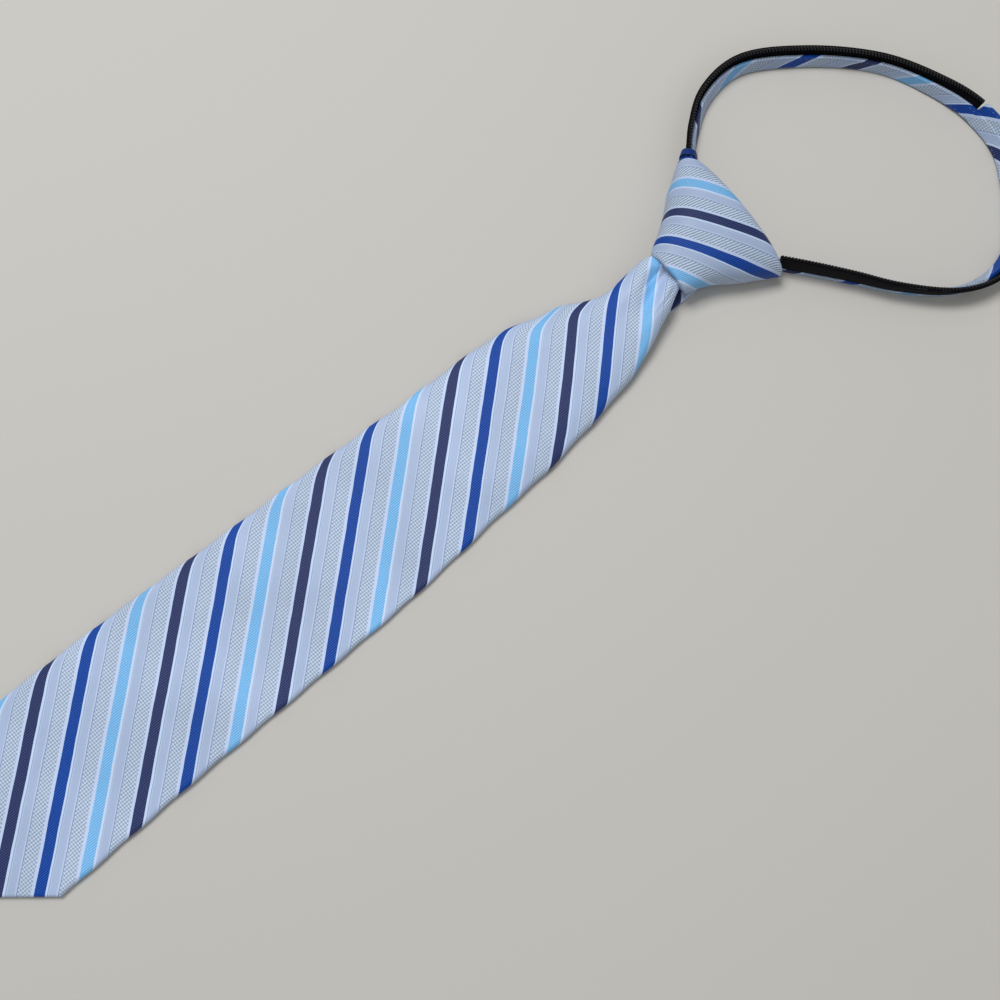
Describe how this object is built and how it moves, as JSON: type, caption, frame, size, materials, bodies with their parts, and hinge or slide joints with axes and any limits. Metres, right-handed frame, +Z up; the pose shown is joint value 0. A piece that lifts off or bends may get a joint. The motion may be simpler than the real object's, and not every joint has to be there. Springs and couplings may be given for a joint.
{
  "type": "zipper tie",
  "caption": "Ready-tied striped neck tie with a pointed blade, a sewn knot and a neck loop edged with black zipper tape, lying flat.",
  "frame": {"origin": "centre of the tie's bounding box, on the table that it lies on", "axes": "+Y from the point of the blade towards the neck loop, +Z up from the table, +X to the right seen from above"},
  "size_m": [0.1454, 0.5306, 0.0211],
  "materials": {
    "striped_silk": "satin",
    "zipper_tape": "matte",
    "zipper_nylon": "satin"
  },
  "bodies": {
    "root": {"blade": "striped_silk", "knot_wrap": "striped_silk", "knot_tab": "striped_silk", "neck_band": "striped_silk", "zipper_tape_left": "zipper_tape", "zipper_tape_right": "zipper_tape", "zipper_teeth_left": "zipper_nylon", "zipper_teeth_right": "zipper_nylon", "tail_strip_left": "striped_silk", "tail_strip_right": "striped_silk", "tail_zipper": "zipper_nylon", "zipper_slider": "zipper_nylon"}
  },
  "joints": []
}
